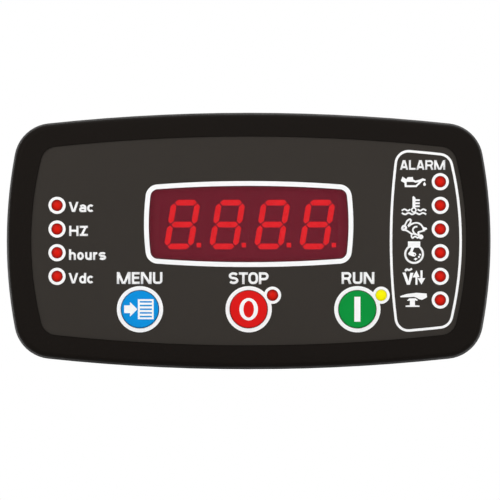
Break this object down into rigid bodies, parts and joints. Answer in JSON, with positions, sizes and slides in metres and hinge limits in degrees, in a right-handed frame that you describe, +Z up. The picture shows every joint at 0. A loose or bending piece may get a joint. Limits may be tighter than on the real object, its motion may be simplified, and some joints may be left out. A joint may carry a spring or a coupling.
{
  "type": "genset controller",
  "caption": "Panel-mounted generating-set controller: bowed dark bezel, red numeric display, indicator lamps, coloured push keys, plug-in screw terminals and side clamping brackets.",
  "frame": {"origin": "middle of the panel cut-out, in the plane of the panel's front face", "axes": "front looks along -Y, +Y into the panel, +Z up, +X to the right seen from the front"},
  "size_m": [0.1382, 0.053, 0.0732],
  "materials": {
    "bezel_plastic": "fine moulded texture",
    "overlay_film": "satin polycarbonate film",
    "white_ink": "screen-printed ink",
    "red_lens": "tinted clear acrylic",
    "digit_body": "dull black face",
    "lit_segment": "lit red epoxy",
    "red_lamp": "diffused red epoxy",
    "yellow_lamp": "diffused yellow epoxy",
    "black_plastic": "moulded",
    "blue_key": "satin moulded cap",
    "red_key": "satin moulded cap",
    "green_key": "satin moulded cap",
    "switch_stem": "moulded",
    "board": "solder mask on glass epoxy",
    "spacer_brass": "turned",
    "steel": "zinc plated",
    "capacitor_can": "sleeved can",
    "ferrite": "wound ferrite",
    "case_plastic": "fine moulded texture",
    "terminal_green": "moulded nylon",
    "tinned_brass": "tinned",
    "bracket_plastic": "glass-filled nylon"
  },
  "bodies": {
    "controller": {"front_bezel": "bezel_plastic", "front_overlay": "overlay_film", "overlay_print": "white_ink", "display_lens": "red_lens", "digit_1": "digit_body", "digit_2": "digit_body", "digit_3": "digit_body", "digit_4": "digit_body", "digit_1_segments": "lit_segment", "digit_2_segments": "lit_segment", "digit_3_segments": "lit_segment", "digit_4_segments": "lit_segment", "lamp_volts_ac": "red_lamp", "lamp_hertz": "red_lamp", "lamp_hours": "red_lamp", "lamp_volts_dc": "red_lamp", "lamp_oil_pressure": "red_lamp", "lamp_coolant_temp": "red_lamp", "lamp_overspeed": "red_lamp", "lamp_start_fail": "red_lamp", "lamp_gen_voltage": "red_lamp", "lamp_emergency_stop": "red_lamp", "lamp_stop": "red_lamp", "lamp_run": "yellow_lamp", "lamp_spacers": "black_plastic", "menu_switch": "black_plastic", "stop_switch": "black_plastic", "run_switch": "black_plastic", "display_board": "board", "main_board": "board", "board_spacers": "spacer_brass", "board_screws": "steel", "board_socket": "black_plastic", "board_header": "black_plastic", "microcontroller": "black_plastic", "supply_capacitors": "capacitor_can", "supply_inductor": "ferrite", "output_transistors": "black_plastic", "rear_case": "case_plastic", "terminal_socket": "terminal_green", "terminal_pins": "tinned_brass", "terminal_plug": "terminal_green", "terminal_screws": "steel", "terminal_clamps": "steel", "generator_socket": "terminal_green", "generator_pins": "tinned_brass", "generator_plug": "terminal_green", "generator_screws": "steel", "generator_clamps": "steel", "left_bracket": "bracket_plastic", "right_bracket": "bracket_plastic", "left_clamp_screw": "steel", "right_clamp_screw": "steel"},
    "menu_key": {"menu_key": "blue_key", "menu_switch_stem": "switch_stem"},
    "stop_key": {"stop_key": "red_key", "stop_switch_stem": "switch_stem"},
    "run_key": {"run_key": "green_key", "run_switch_stem": "switch_stem"}
  },
  "joints": [
    {"name": "menu_press", "type": "slide", "parent": "controller", "child": "menu_key", "axis": [0, 1, 0], "range_m": [0, 0.0005], "stiffness_N_per_m": 400, "springref_m": -0.003},
    {"name": "stop_press", "type": "slide", "parent": "controller", "child": "stop_key", "axis": [0, 1, 0], "range_m": [0, 0.0005], "stiffness_N_per_m": 400, "springref_m": -0.003},
    {"name": "run_press", "type": "slide", "parent": "controller", "child": "run_key", "axis": [0, 1, 0], "range_m": [0, 0.0005], "stiffness_N_per_m": 400, "springref_m": -0.003}
  ]
}
